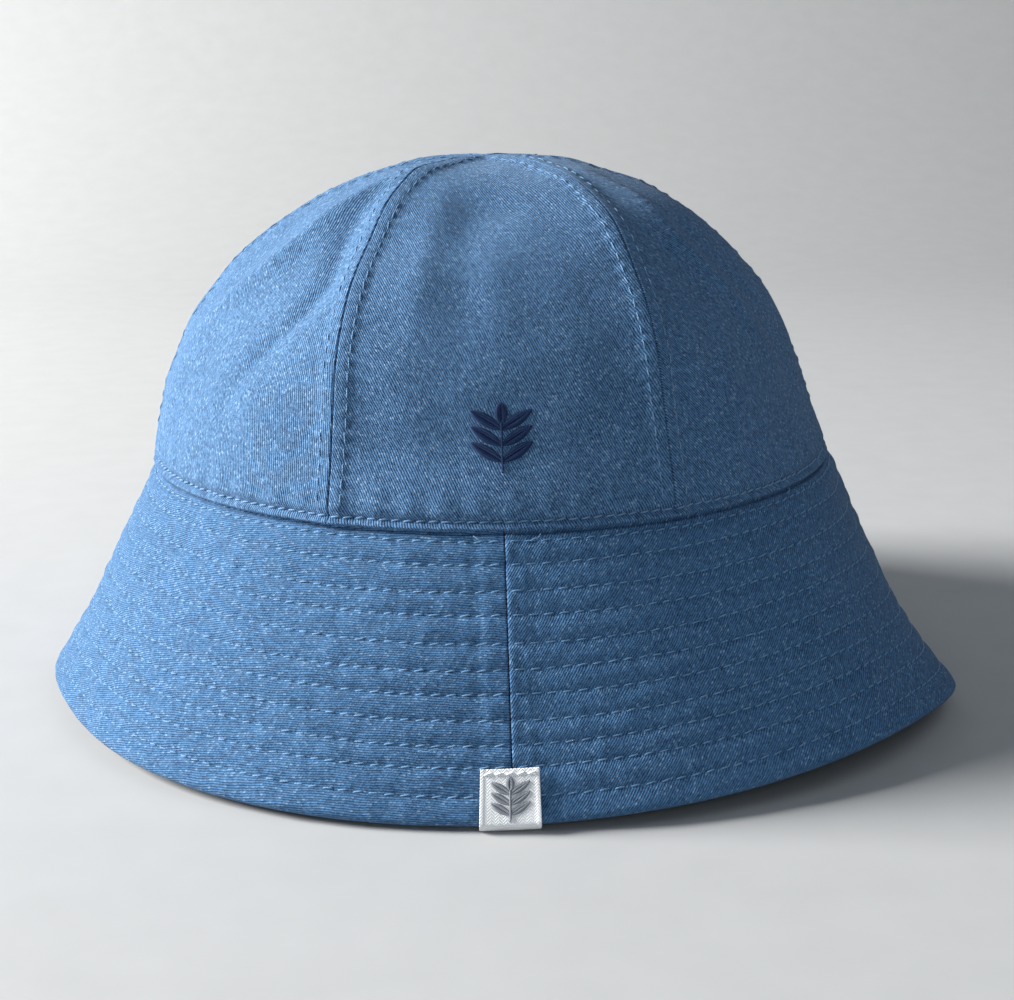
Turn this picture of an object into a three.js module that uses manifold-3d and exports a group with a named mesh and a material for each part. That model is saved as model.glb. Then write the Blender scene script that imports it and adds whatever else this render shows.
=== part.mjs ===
import * as THREE from 'three';
import Module from 'manifold-3d';
import { mergeVertices } from 'three/addons/utils/BufferGeometryUtils.js';

// A soft six-panel bucket hat: a domed crown of six tapering panels over a steep brim of two halves.
// Millimetres, +Z up. The origin is on the surface the brim stands on, under the middle of the crown.
// The front faces -Y. Left and right are as seen from the front: left is -X, right is +X.
// Angles are in degrees round the Z axis, from 0 at the front to 90 at the right.

// Driving sizes
const SEAM_RADIUS = 95;        // outside of the crown where the brim is sewn on, for a 57 cm head
const SEAM_HEIGHT = 62;        // of the crown-to-brim seam above the brim's edge
const CROWN_RISE = 86;         // top of the dome above that seam
const BRIM_RADIUS = 129.5;     // outside of the brim's edge
const GAP = 0.3;               // clearance between pieces that are sewn face to face
const PANEL_SEAMS = [-153.75, -90, -26.25, 26.25, 90, 153.75];  // at the foot of the crown
const SEAM_SWING = 14.5;       // how far the front and back panels widen by SWING_CLIMB
const SWING_CLIMB = 75;

// Cloth thicknesses
const CLOTH = 0.9;
const TAPE_CLOTH = 0.4;
const BAND_CLOTH = 0.5;
const BAND_INTERLINING = 0.4;
const BRIM_INTERLINING = 0.6;
const LABEL_CLOTH = 0.4;
const BACKING_PAPER = 0.3;

// Depths below the outside of the crown at which the inner layers start
const TAPE_DEPTH = CLOTH + GAP;
const BAND_DEPTH = TAPE_DEPTH + TAPE_CLOTH + GAP;
const BAND_CORE_DEPTH = BAND_DEPTH + BAND_CLOTH + GAP;
const BAND_INNER_DEPTH = BAND_CORE_DEPTH + BAND_INTERLINING + GAP;
const BAND_FACE_DEPTH = BAND_INNER_DEPTH + BAND_CLOTH;

// Depths below the outside of the brim
const BRIM_CORE_DEPTH = CLOTH + GAP;
const BRIM_UNDER_DEPTH = BRIM_CORE_DEPTH + BRIM_INTERLINING + GAP;
const BRIM_DEPTH = BRIM_UNDER_DEPTH + CLOTH;

const BAND_HEIGHT = 29;
const TAPE_HALF_WIDTH = 6;
const TAPE_END_RADIUS = 10;    // the short tapes stop this far from the top
const TIP_RADIUS = 2;          // the panel points stop here, over the long seam tape
const CROWN_ROWS = 12;
const DEGREES_PER_STEP = 6.5;

// The front of the brim is lifted a little off the surface, which leaves room for the label's fold
const FRONT_LIFT = 1.8;
const FRONT_LIFT_ANGLE = 24;
const BRIM_LABEL = { halfWidth: 7, height: 12 };

const EMBROIDERY = { rise: 23.1, thickness: 0.5, stemHalfWidth: 0.45, stemHalfLength: 8.5 };
const LEAF = { lean: 58, halfWidth: 1.4, rootHalfWidth: 0.2 };
const BACKING_RADIUS = 11;
const CARE_LABEL = { halfWidth: 14, top: SEAM_HEIGHT + 1.5, drop: 38, inset: 2.1 };
const SIZE_LABEL = { halfWidth: 7, drop: 12 };
const THREAD_RADIUS = 0.3;
const TOPSTITCH_RISE = 2.4;

const wasm = await Module();
wasm.setup();

const radians = THREE.MathUtils.degToRad;
const degrees = THREE.MathUtils.radToDeg;
const lerp = THREE.MathUtils.lerp;

// A point at plan radius `r` and height `z`, `side` millimetres sideways from the given angle
function around(r, z, angle, side = 0) {
  const a = radians(angle);
  return new THREE.Vector3(
    r * Math.sin(a) + side * Math.cos(a),
    -r * Math.cos(a) + side * Math.sin(a),
    z,
  );
}

// The dome is a half ellipsoid. `climb` is 0 at the seam and 90 at the top.
function crownProfile(climb, depth) {
  const c = radians(climb);
  const normal = new THREE.Vector2(Math.cos(c) / SEAM_RADIUS, Math.sin(c) / CROWN_RISE).normalize();
  return [
    SEAM_RADIUS * Math.cos(c) - depth * normal.x,
    SEAM_HEIGHT + CROWN_RISE * Math.sin(c) - depth * normal.y,
  ];
}

function climbAtRise(rise) {
  return degrees(Math.asin(rise / CROWN_RISE));
}

// The side seams climb straight. The others swing away from the middle of the front and the back.
function seamAngle(foot, climb) {
  if (Math.abs(foot) === 90) {
    return foot;
  }
  const towardsSide = Math.sign(foot) * (Math.abs(foot) < 90 ? 1 : -1);
  return foot + towardsSide * SEAM_SWING * (climb / SWING_CLIMB) ** 2;
}

// A point below the dome's outside at the plan position (x, y)
function crownPoint(x, y, depth) {
  const height = CROWN_RISE * Math.sqrt(1 - (x * x + y * y) / SEAM_RADIUS ** 2);
  const point = new THREE.Vector3(x, y, SEAM_HEIGHT + height);
  const normal = new THREE.Vector3(x / SEAM_RADIUS ** 2, y / SEAM_RADIUS ** 2, height / CROWN_RISE ** 2);
  return point.addScaledVector(normal.normalize(), -depth);
}

// The brim is a straight cone. `t` is 0 at the seam and 1 at the edge.
const BRIM_SLANT = Math.hypot(BRIM_RADIUS - SEAM_RADIUS, SEAM_HEIGHT);
const ACROSS = BRIM_SLANT / SEAM_HEIGHT;  // level width of one millimetre of brim thickness
const SPREAD = (BRIM_RADIUS - SEAM_RADIUS) / SEAM_HEIGHT;

function brimRadius(z, depth) {
  return SEAM_RADIUS + (SEAM_HEIGHT - z) * SPREAD - depth * ACROSS;
}

function edgeHeight(angle) {
  const turn = Math.abs(angle) / FRONT_LIFT_ANGLE;
  return turn < 1 ? (FRONT_LIFT * (1 + Math.cos(Math.PI * turn))) / 2 : 0;
}

function orientedOutwards(positions, triangles) {
  let volume = 0;
  for (const [a, b, c] of triangles) {
    volume += positions[a].dot(new THREE.Vector3().crossVectors(positions[b], positions[c]));
  }
  const ordered = volume > 0 ? triangles : triangles.map(([a, b, c]) => [a, c, b]);
  const geometry = new THREE.BufferGeometry();
  geometry.setAttribute('position', new THREE.Float32BufferAttribute(
    positions.flatMap((p) => [p.x, p.y, p.z]),
    3,
  ));
  geometry.setIndex(ordered.flat());
  return geometry;
}

// A closed sheet with thickness: `point(u, v, inside)` gives its two faces for u and v from 0 to 1
function sheet(rows, columns, point) {
  const positions = [];
  const index = (row, column, face) => (row * (columns + 1) + column) * 2 + face;
  for (let row = 0; row <= rows; row += 1) {
    for (let column = 0; column <= columns; column += 1) {
      positions.push(point(row / rows, column / columns, false));
      positions.push(point(row / rows, column / columns, true));
    }
  }
  const triangles = [];
  const quad = (a, b, c, d) => triangles.push([a, b, c], [a, c, d]);
  for (let row = 0; row < rows; row += 1) {
    for (let column = 0; column < columns; column += 1) {
      for (const face of [0, 1]) {
        const corners = [
          index(row, column, face),
          index(row, column + 1, face),
          index(row + 1, column + 1, face),
          index(row + 1, column, face),
        ];
        quad(...(face ? corners.reverse() : corners));
      }
    }
  }
  const edge = ([rowA, columnA], [rowB, columnB]) => quad(
    index(rowA, columnA, 0),
    index(rowB, columnB, 0),
    index(rowB, columnB, 1),
    index(rowA, columnA, 1),
  );
  for (let row = 0; row < rows; row += 1) {
    edge([row, 0], [row + 1, 0]);
    edge([row + 1, columns], [row, columns]);
  }
  for (let column = 0; column < columns; column += 1) {
    edge([0, column + 1], [0, column]);
    edge([rows, column], [rows, column + 1]);
  }
  return orientedOutwards(positions, triangles);
}

// A closed solid swept round Z: `section(angle)` gives its closed [r, z] outline at each angle.
// Both end faces draw back by half a gap, so that neighbours in a ring keep clear of each other.
function sweep(section, from, to) {
  const steps = Math.ceil((to - from) / DEGREES_PER_STEP);
  const count = section(from).length;
  const positions = [];
  const triangles = [];
  for (let step = 0; step <= steps; step += 1) {
    const angle = lerp(from, to, step / steps);
    const drawBack = (step === 0 ? GAP / 2 : 0) - (step === steps ? GAP / 2 : 0);
    for (const [r, z] of section(angle)) {
      positions.push(around(r, z, angle, drawBack));
    }
  }
  for (let step = 0; step < steps; step += 1) {
    for (let i = 0; i < count; i += 1) {
      const a = step * count + i;
      const b = step * count + ((i + 1) % count);
      triangles.push([a, b, b + count], [a, b + count, a + count]);
    }
  }
  const outline = section(from).map(([r, z]) => new THREE.Vector2(r, z));
  const last = steps * count;
  for (const [a, b, c] of THREE.ShapeUtils.triangulateShape(outline, [])) {
    const area = THREE.ShapeUtils.area([outline[a], outline[b], outline[c]]);
    const [p, q] = area * THREE.ShapeUtils.area(outline) > 0 ? [b, c] : [c, b];
    triangles.push([a, q, p], [last + a, last + p, last + q]);
  }
  return orientedOutwards(positions, triangles);
}

// A ring of cloth between two depths of the crown
function crownRing(climbFrom, climbTo, rows, outerDepth, innerDepth) {
  const side = (depth) => Array.from(
    { length: rows + 1 },
    (_, i) => crownProfile(lerp(climbFrom, climbTo, i / rows), depth),
  );
  const outline = [...side(outerDepth), ...side(innerDepth).reverse()];
  return sweep(() => outline, -180, 180);
}

function crownPanel(fromSeam, toSeam) {
  const bottom = climbAtRise(GAP);
  const top = degrees(Math.acos(TIP_RADIUS / SEAM_RADIUS));
  const columns = Math.ceil(((toSeam - fromSeam + 360) % 360) / DEGREES_PER_STEP);
  return sheet(CROWN_ROWS, columns, (u, v, inside) => {
    const climb = lerp(bottom, top, u);
    const from = seamAngle(fromSeam, climb);
    const to = seamAngle(toSeam, climb);
    const [r, z] = crownProfile(climb, inside ? CLOTH : 0);
    const drawBack = (v === 0 ? GAP / 2 : 0) - (v === 1 ? GAP / 2 : 0);
    return around(r, z, from + v * ((to - from + 360) % 360), drawBack);
  });
}

const TAPE_FOOT = climbAtRise(2 * GAP + CLOTH);  // level with the sweatband's lower edge

// A short seam tape runs up inside a seam until it meets its neighbour and the long tape
function shortSeamTape(foot) {
  const top = degrees(Math.acos(TAPE_END_RADIUS / SEAM_RADIUS));
  const mirror = Math.sign(foot);
  const back = Math.abs(foot) > 90;
  const seamFoot = back ? 180 - Math.abs(foot) : Math.abs(foot);
  return sheet(11, 3, (u, v, inside) => {
    const climb = lerp(TAPE_FOOT, top, u);
    const [r, z] = crownProfile(climb, TAPE_DEPTH + (inside ? TAPE_CLOTH : 0));
    const centre = seamAngle(seamFoot, climb);
    const halfWidth = degrees(Math.asin(TAPE_HALF_WIDTH / r));
    const low = Math.max(centre - halfWidth, degrees(Math.asin(GAP / r)));
    const high = Math.min(centre + halfWidth, degrees(Math.acos((TAPE_HALF_WIDTH + GAP) / r)));
    const turn = lerp(low, high, v);
    return around(r, z, mirror * (back ? 180 - turn : turn));
  });
}

// The long seam tape runs from side to side over the top
function longSeamTape() {
  const footTurn = 90 - TAPE_FOOT;
  return sheet(26, 3, (u, v, inside) => {
    const side = lerp(-TAPE_HALF_WIDTH, TAPE_HALF_WIDTH, v);
    const along = Math.sqrt(SEAM_RADIUS ** 2 - side ** 2) * Math.sin(radians(lerp(-footTurn, footTurn, u)));
    return crownPoint(along, side, TAPE_DEPTH + (inside ? TAPE_CLOTH : 0));
  });
}

// The sweatband is a tape folded along its top edge, with a strip of interlining between its layers
function sweatband() {
  const rows = 4;
  const bottom = climbAtRise(2 * GAP);
  const top = climbAtRise(BAND_HEIGHT);
  const coreTop = climbAtRise(BAND_HEIGHT - BAND_CLOTH - GAP);
  const leg = (depth, upper, upwards) => Array.from({ length: rows + 1 }, (_, i) => crownProfile(
    upwards ? lerp(bottom, upper, i / rows) : lerp(upper, bottom, i / rows),
    depth,
  ));
  const section = () => [
    ...leg(BAND_DEPTH, top, true),
    ...leg(BAND_FACE_DEPTH, top, false),
    ...leg(BAND_INNER_DEPTH, coreTop, true),
    ...leg(BAND_CORE_DEPTH - GAP, coreTop, false),
  ];
  return sweep(section, -180, 180);
}

function sweatbandInterlining() {
  const top = climbAtRise(BAND_HEIGHT - BAND_CLOTH - 2 * GAP);
  return crownRing(climbAtRise(2 * GAP), top, 4, BAND_CORE_DEPTH, BAND_CORE_DEPTH + BAND_INTERLINING);
}

// The outer brim cloth turns under at the edge and closes the layers from below
function brimTop(from, to) {
  return sweep((angle) => {
    const edge = edgeHeight(angle);
    const fold = edge + CLOTH;
    return [
      [brimRadius(SEAM_HEIGHT, 0), SEAM_HEIGHT],
      [brimRadius(SEAM_HEIGHT / 2, 0), SEAM_HEIGHT / 2],
      [brimRadius(edge, 0), edge],
      [brimRadius(edge, BRIM_DEPTH), edge],
      [brimRadius(fold, BRIM_DEPTH), fold],
      [brimRadius(fold, CLOTH), fold],
      [brimRadius(SEAM_HEIGHT / 2, CLOTH), SEAM_HEIGHT / 2],
      [brimRadius(SEAM_HEIGHT, CLOTH), SEAM_HEIGHT],
    ];
  }, from, to);
}

function brimLayer(from, to, outerDepth, innerDepth) {
  return sweep((angle) => {
    const bottom = edgeHeight(angle) + CLOTH + GAP;
    return [
      [brimRadius(SEAM_HEIGHT, outerDepth), SEAM_HEIGHT],
      [brimRadius(bottom, outerDepth), bottom],
      [brimRadius(bottom, innerDepth), bottom],
      [brimRadius(SEAM_HEIGHT, innerDepth), SEAM_HEIGHT],
    ];
  }, from, to);
}

// A woven tab folded over the brim's edge at the front and stitched through it
function brimLabel() {
  const halfAngle = degrees(BRIM_LABEL.halfWidth / BRIM_RADIUS);
  return sweep((angle) => {
    const fold = edgeHeight(0) - GAP;
    const bottom = fold - LABEL_CLOTH;
    const top = edgeHeight(0) + BRIM_LABEL.height;
    const outside = -GAP - LABEL_CLOTH;
    const inside = BRIM_DEPTH + GAP + LABEL_CLOTH;
    return [
      [brimRadius(top, outside), top],
      [brimRadius(bottom, outside), bottom],
      [brimRadius(bottom, inside), bottom],
      [brimRadius(top, inside), top],
      [brimRadius(top, BRIM_DEPTH + GAP), top],
      [brimRadius(fold, BRIM_DEPTH + GAP), fold],
      [brimRadius(fold, -GAP), fold],
      [brimRadius(top, -GAP), top],
    ];
  }, -halfAngle, halfAngle);
}

// One row of thread round the foot of the crown
function crownBaseTopstitch() {
  const [r, z] = crownProfile(climbAtRise(TOPSTITCH_RISE), -GAP - THREAD_RADIUS);
  const sides = 4;
  const section = () => Array.from({ length: sides }, (_, i) => {
    const turn = (2 * Math.PI * i) / sides;
    return [r + THREAD_RADIUS * Math.cos(turn), z + THREAD_RADIUS * Math.sin(turn)];
  });
  return sweep(section, -180, 180);
}

function toSolid(geometry) {
  const bare = geometry.clone();
  bare.deleteAttribute('normal');
  bare.deleteAttribute('uv');
  const merged = mergeVertices(bare);
  return new wasm.Manifold(new wasm.Mesh({
    numProp: 3,
    vertProperties: new Float32Array(merged.attributes.position.array),
    triVerts: new Uint32Array(merged.index.array),
  }));
}

function toGeometry(solid) {
  const mesh = solid.getMesh();
  const geometry = new THREE.BufferGeometry();
  geometry.setAttribute('position', new THREE.BufferAttribute(new Float32Array(mesh.vertProperties), 3));
  geometry.setIndex(new THREE.BufferAttribute(new Uint32Array(mesh.triVerts), 1));
  return geometry;
}

// A leaf from its root to its tip, leaning `lean` degrees from the stem
function leaf(rootHeight, length, halfWidth, lean) {
  const cos = Math.cos(radians(lean));
  const sin = Math.sin(radians(lean));
  const steps = 4;
  const side = (sign) => Array.from({ length: steps + 1 }, (_, i) => {
    const x = sign * (halfWidth * Math.sin((Math.PI * i) / steps) + LEAF.rootHalfWidth);
    const y = (length * i) / steps;
    return new THREE.Vector2(x * cos + y * sin, rootHeight - x * sin + y * cos);
  });
  return new THREE.Shape([...side(1), ...side(-1).reverse()]);
}

// A plain leaf sprig, worked flat and then laid on the front panel
function embroidery() {
  const { stemHalfWidth: w, stemHalfLength: h } = EMBROIDERY;
  const stemSteps = 6;
  const stemSide = (x) => Array.from(
    { length: stemSteps + 1 },
    (_, i) => new THREE.Vector2(x, lerp(-h, h * 0.6, i / stemSteps)),
  );
  const stem = new THREE.Shape([...stemSide(-w), ...stemSide(w).reverse()]);
  const shapes = [stem, leaf(h * 0.35, h * 0.65, LEAF.halfWidth, 0)];
  for (const rootHeight of [-0.7 * h, -0.25 * h, 0.2 * h]) {
    for (const lean of [-LEAF.lean, LEAF.lean]) {
      shapes.push(leaf(rootHeight, h * 1.05, LEAF.halfWidth, lean));
    }
  }
  const options = { depth: EMBROIDERY.thickness, bevelEnabled: false };
  const solid = shapes
    .map((shape) => toSolid(new THREE.ExtrudeGeometry(shape, options)))
    .reduce((whole, piece) => whole.add(piece));
  const geometry = toGeometry(solid);
  const position = geometry.attributes.position;
  const climb = climbAtRise(EMBROIDERY.rise);
  for (let i = 0; i < position.count; i += 1) {
    const sideAngle = degrees(position.getX(i) / (SEAM_RADIUS * Math.cos(radians(climb))));
    const up = degrees(position.getY(i) / CROWN_RISE);
    const [r, z] = crownProfile(climb + up, -GAP - position.getZ(i));
    const p = around(r, z, sideAngle);
    position.setXYZ(i, p.x, p.y, p.z);
  }
  return geometry;
}

// A round of stabiliser paper behind the embroidery
function embroideryBacking() {
  const climb = climbAtRise(EMBROIDERY.rise);
  return sheet(4, 4, (u, v, inside) => {
    const x = 2 * u - 1;
    const y = 2 * v - 1;
    const across = BACKING_RADIUS * x * Math.sqrt(1 - (y * y) / 2);
    const up = BACKING_RADIUS * y * Math.sqrt(1 - (x * x) / 2);
    const [r, z] = crownProfile(
      climb + degrees(up / CROWN_RISE),
      CLOTH + GAP + (inside ? BACKING_PAPER : 0),
    );
    return around(r, z, degrees(across / SEAM_RADIUS));
  });
}

// The care label hangs inside the back from its top edge, with the small size label on its face
const bandFace = crownProfile(0, BAND_FACE_DEPTH)[0];
const careLabelPlane = bandFace - CARE_LABEL.inset;

function hangingLabel({ halfWidth, drop }, inset) {
  const geometry = new THREE.BoxGeometry(2 * halfWidth, LABEL_CLOTH, drop);
  geometry.translate(0, careLabelPlane - inset, CARE_LABEL.top - drop / 2);
  return geometry;
}

const colours = {
  denim: { color: 0x4f76a3, roughness: 0.92, metalness: 0 },
  underDenim: { color: 0x3c5b80, roughness: 0.93, metalness: 0 },
  canvas: { color: 0xd9d6cc, roughness: 0.95, metalness: 0 },
  band: { color: 0x2b3b57, roughness: 0.85, metalness: 0 },
  tape: { color: 0x31425f, roughness: 0.88, metalness: 0 },
  navyThread: { color: 0x26324f, roughness: 0.6, metalness: 0 },
  paleThread: { color: 0x8fb4da, roughness: 0.6, metalness: 0 },
  wovenLabel: { color: 0xe4e6e6, roughness: 0.8, metalness: 0 },
  satinLabel: { color: 0xf0f0ee, roughness: 0.55, metalness: 0 },
  paper: { color: 0xe9e9e4, roughness: 0.95, metalness: 0 },
};

const hat = new THREE.Group();

function add(name, geometry, colour) {
  const mesh = new THREE.Mesh(geometry, new THREE.MeshStandardMaterial(colours[colour]));
  mesh.name = name;
  hat.add(mesh);
}

const panelNames = ['back_left', 'front_left', 'front', 'front_right', 'back_right', 'back'];
panelNames.forEach((name, i) => {
  const next = PANEL_SEAMS[(i + 1) % PANEL_SEAMS.length];
  add(`crown_panel_${name}`, crownPanel(PANEL_SEAMS[i], next), 'denim');
});

add('seam_tape_side_to_side', longSeamTape(), 'tape');
add('seam_tape_front_left', shortSeamTape(PANEL_SEAMS[2]), 'tape');
add('seam_tape_front_right', shortSeamTape(PANEL_SEAMS[3]), 'tape');
add('seam_tape_back_left', shortSeamTape(PANEL_SEAMS[0]), 'tape');
add('seam_tape_back_right', shortSeamTape(PANEL_SEAMS[5]), 'tape');

add('sweatband', sweatband(), 'band');
add('sweatband_interlining', sweatbandInterlining(), 'canvas');
add('crown_base_topstitch', crownBaseTopstitch(), 'paleThread');

const brimCoreInnerDepth = BRIM_CORE_DEPTH + BRIM_INTERLINING;
for (const [side, from, to] of [['left', -180, 0], ['right', 0, 180]]) {
  add(`brim_top_${side}`, brimTop(from, to), 'denim');
  add(`brim_interlining_${side}`, brimLayer(from, to, BRIM_CORE_DEPTH, brimCoreInnerDepth), 'canvas');
  add(`brim_under_${side}`, brimLayer(from, to, BRIM_UNDER_DEPTH, BRIM_DEPTH), 'underDenim');
}

add('brim_label', brimLabel(), 'wovenLabel');
add('front_embroidery', embroidery(), 'navyThread');
add('embroidery_backing', embroideryBacking(), 'paper');
add('care_label', hangingLabel(CARE_LABEL, 0), 'satinLabel');
add('size_label', hangingLabel(SIZE_LABEL, LABEL_CLOTH + GAP), 'satinLabel');

export default hat;
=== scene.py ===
"""The looks of a soft denim bucket hat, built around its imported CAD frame.

Blender works in metres; the shape functions below work in millimetres and degrees.
Angles run round the Z axis from 0 at the front (-Y) to 90 at the right (+X).
"Climb" runs up the dome from 0 at the brim seam to 90 at the top, "rise" is the height above that seam,
and "slope" runs down the brim from the seam.
"""
import math

import bpy
import numpy as np
from mathutils import Matrix, Vector


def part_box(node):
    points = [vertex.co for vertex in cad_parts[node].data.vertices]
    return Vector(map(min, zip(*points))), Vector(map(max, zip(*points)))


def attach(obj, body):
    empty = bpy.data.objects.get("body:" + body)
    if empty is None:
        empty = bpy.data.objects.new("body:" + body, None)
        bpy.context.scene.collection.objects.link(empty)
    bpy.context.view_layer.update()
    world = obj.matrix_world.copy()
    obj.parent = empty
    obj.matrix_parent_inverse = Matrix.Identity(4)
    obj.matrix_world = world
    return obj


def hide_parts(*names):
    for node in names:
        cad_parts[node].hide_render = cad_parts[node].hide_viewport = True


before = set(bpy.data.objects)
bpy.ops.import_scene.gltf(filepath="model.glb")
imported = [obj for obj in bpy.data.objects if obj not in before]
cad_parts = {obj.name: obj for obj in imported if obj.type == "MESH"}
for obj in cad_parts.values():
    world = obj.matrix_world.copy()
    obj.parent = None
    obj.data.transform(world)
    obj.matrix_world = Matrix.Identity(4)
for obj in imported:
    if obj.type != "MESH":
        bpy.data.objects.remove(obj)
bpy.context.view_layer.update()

MM = 0.001

# ---------------------------------------------------------------- sizes from the frame
def frame_box(node):
    """The lowest and highest corner of a CAD node, in millimetres."""
    return [np.array(corner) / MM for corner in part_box(node)]


CROWN_LOW, CROWN_HIGH = frame_box("crown_panel_front_left")
CARE_LOW, CARE_HIGH = frame_box("care_label")
SIZE_LOW, SIZE_HIGH = frame_box("size_label")
SEAM_RADIUS = -CROWN_LOW[0]
SEAM_HEIGHT = frame_box("brim_top_left")[1][2]
CROWN_RISE = CROWN_HIGH[2] - SEAM_HEIGHT
BAND_RISE = frame_box("sweatband")[1][2] - SEAM_HEIGHT
CLIMB_MM = 1.58                # of cloth over the dome for each degree of climb
CONE_LEAN = 0.486              # the brim's spread over its slant, which sets how far it opens when laid flat
BRIM_SLANT = 68.8              # a soft brim sags, which takes up a little of its cut length

# Cloth, as in the CAD model: depths are measured from the outside of the crown or the brim
CLOTH = 0.9
LAYER_ROOM = 0.25              # the inner layers of the crown lie this much looser
TAPE_DEPTH, TAPE_CLOTH, TAPE_HALF_WIDTH = 1.2, 0.4, 6.0
BAND_DEPTH, BAND_FACE_DEPTH, BAND_CLOTH = 1.9, 3.9, 0.5
CORE_DEPTH, CORE_CLOTH = 2.7, 0.4
BACKING_RADIUS, BACKING_DEPTH, BACKING_CLOTH = 11.0, 1.2, 0.3
BRIM_CORE_DEPTH, BRIM_CORE_CLOTH = 1.2, 0.6
BRIM_UNDER_DEPTH, BRIM_DEPTH = 2.1, 3.0
LABEL_CLOTH = 0.4
LABEL_HALF_WIDTH = 6.9
LABEL_TOP_SLOPE = 56.0
LABEL_RADIUS = 125.0           # of the brim at the middle of the label

PANELS = {
    "front": (-26.25, 26.25),
    "front_right": (26.25, 90.0),
    "back_right": (90.0, 153.75),
    "back": (153.75, 206.25),
    "back_left": (206.25, 270.0),
    "front_left": (270.0, 333.75),
}
PANEL_SAG = {
    "front": 4.2,
    "front_right": 1.0,
    "back_right": 1.0,
    "back": 1.2,
    "back_left": 1.0,
    "front_left": 1.2,
}
SEAM_SWING, SWING_CLIMB = 14.5, 75.0
STITCH_PITCH = 3.7
THREAD = 0.20                  # radius of the topstitch thread
BRIM_ROWS = [2.1, 7.5, 14.3, 20.1, 26.6, 33.0, 38.9, 44.7, 50.4, 55.8, 62.3]
SEAM_STITCH_OFFSET = 3.3
BASE_STITCH_RISE = 2.5


# ---------------------------------------------------------------- small maths helpers
def bell(x, width):
    return np.exp(-((x / width) ** 2))


def smoothstep(x, low, high):
    t = np.clip((x - low) / (high - low), 0, 1)
    return t * t * (3 - 2 * t)


def turned(angle, centre):
    """The signed angle from `centre`, between -180 and 180."""
    return (angle - centre + 180) % 360 - 180


def waves(points, wavelength, seed, count=10):
    """Smooth wandering values of about -1 to 1, from a few sine waves in seeded directions."""
    rng = np.random.default_rng(seed)
    total = np.zeros(points.shape[:-1])
    for _ in range(count):
        direction = rng.normal(size=3)
        direction *= 2 * np.pi / (wavelength * rng.uniform(0.7, 1.5) * np.linalg.norm(direction))
        total += np.sin(points @ direction + rng.uniform(0, 2 * np.pi))
    return total / math.sqrt(count)


def unit(vectors):
    return vectors / (np.linalg.norm(vectors, axis=-1, keepdims=True) + 1e-9)


def climb_at(rise):
    return np.degrees(np.arcsin(rise / CROWN_RISE))


# ---------------------------------------------------------------- the crown's shape
def ellipse_point(angle, climb, out):
    """A point on the plain dome, `out` millimetres outside it."""
    a, c = np.radians(angle), np.radians(climb)
    nr, nz = np.cos(c) / SEAM_RADIUS, np.sin(c) / CROWN_RISE
    size = np.hypot(nr, nz)
    r = SEAM_RADIUS * np.cos(c) + out * nr / size
    z = SEAM_HEIGHT + CROWN_RISE * np.sin(c) + out * nz / size
    return np.stack([r * np.sin(a), -r * np.cos(a), z + 0 * a], -1)


def seam_angle(foot, climb):
    """The side seams climb straight, and the others swing towards them."""
    foot = turned(foot, 0)
    if abs(abs(foot) - 90) < 1:
        return foot + 0 * climb
    towards_side = math.copysign(1, foot) * (1 if abs(foot) < 90 else -1)
    return foot + towards_side * SEAM_SWING * (climb / SWING_CLIMB) ** 2


# Soft folds of the dome: points (angle, climb) along the fold, its half width and its height
FOLDS = [
    ([(-44, 71), (-50, 65), (-54, 55), (-58, 46), (-68, 36), (-77, 28)], 4.8, 2.5),
    ([(-45, 63), (-43, 53), (-38.5, 43), (-41.5, 34), (-47, 27), (-52, 18)], 4.6, -2.3),
    ([(-72, 62), (-74, 42), (-80, 24)], 6.0, -1.1),
    ([(-86, 60), (-88, 42), (-92, 24)], 7.0, 1.0),
    ([(45, 72), (43, 52), (48, 36)], 6.0, -0.9),
    ([(36, 62), (35, 46), (32, 30)], 6.0, 0.5),
    ([(56, 70), (52, 50), (58, 38), (61, 22)], 4.5, 1.7),
    ([(64, 66), (62, 48), (69, 32)], 5.5, -1.4),
    ([(78, 58), (82, 36), (78, 18)], 8.0, 1.0),
    ([(-8, 66), (4, 62), (14, 62)], 7.0, -1.0),
    ([(-21, 66), (-17, 50), (-16, 34)], 5.5, 0.9),
    ([(-9, 68), (-6, 50), (-7, 30)], 7.0, -0.9),
    ([(-14, 50), (0, 47), (14, 50)], 8.0, 0.5),
    ([(-20, 30), (-8, 24), (4, 26)], 9.0, 0.4),
    ([(118, 60), (124, 42), (120, 22)], 7.0, 1.6),
    ([(135, 66), (138, 44), (145, 26)], 6.0, -1.2),
    ([(168, 58), (176, 40), (172, 20)], 9.0, 0.9),
    ([(206, 52), (214, 36), (220, 20)], 6.5, 1.5),
    ([(240, 62), (246, 40), (238, 22)], 8.0, -1.3),
]

# How far inside the full dome the soft one settles, by climb
SETTLED = [(0, 0.6), (10, 1.1), (20, 1.5), (32, 1.5), (45, 1.5), (60, 1.9), (75, 2.4), (90, 3.4)]


def panel_span(name, climb):
    """Where a panel's first seam lies, how many degrees the panel covers, and its width in millimetres."""
    first, second = PANELS[name]
    low = seam_angle(first, climb)
    span = (seam_angle(second, climb) - low) % 360
    return low, span, SEAM_RADIUS * np.cos(np.radians(climb)) * np.radians(span)


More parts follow.
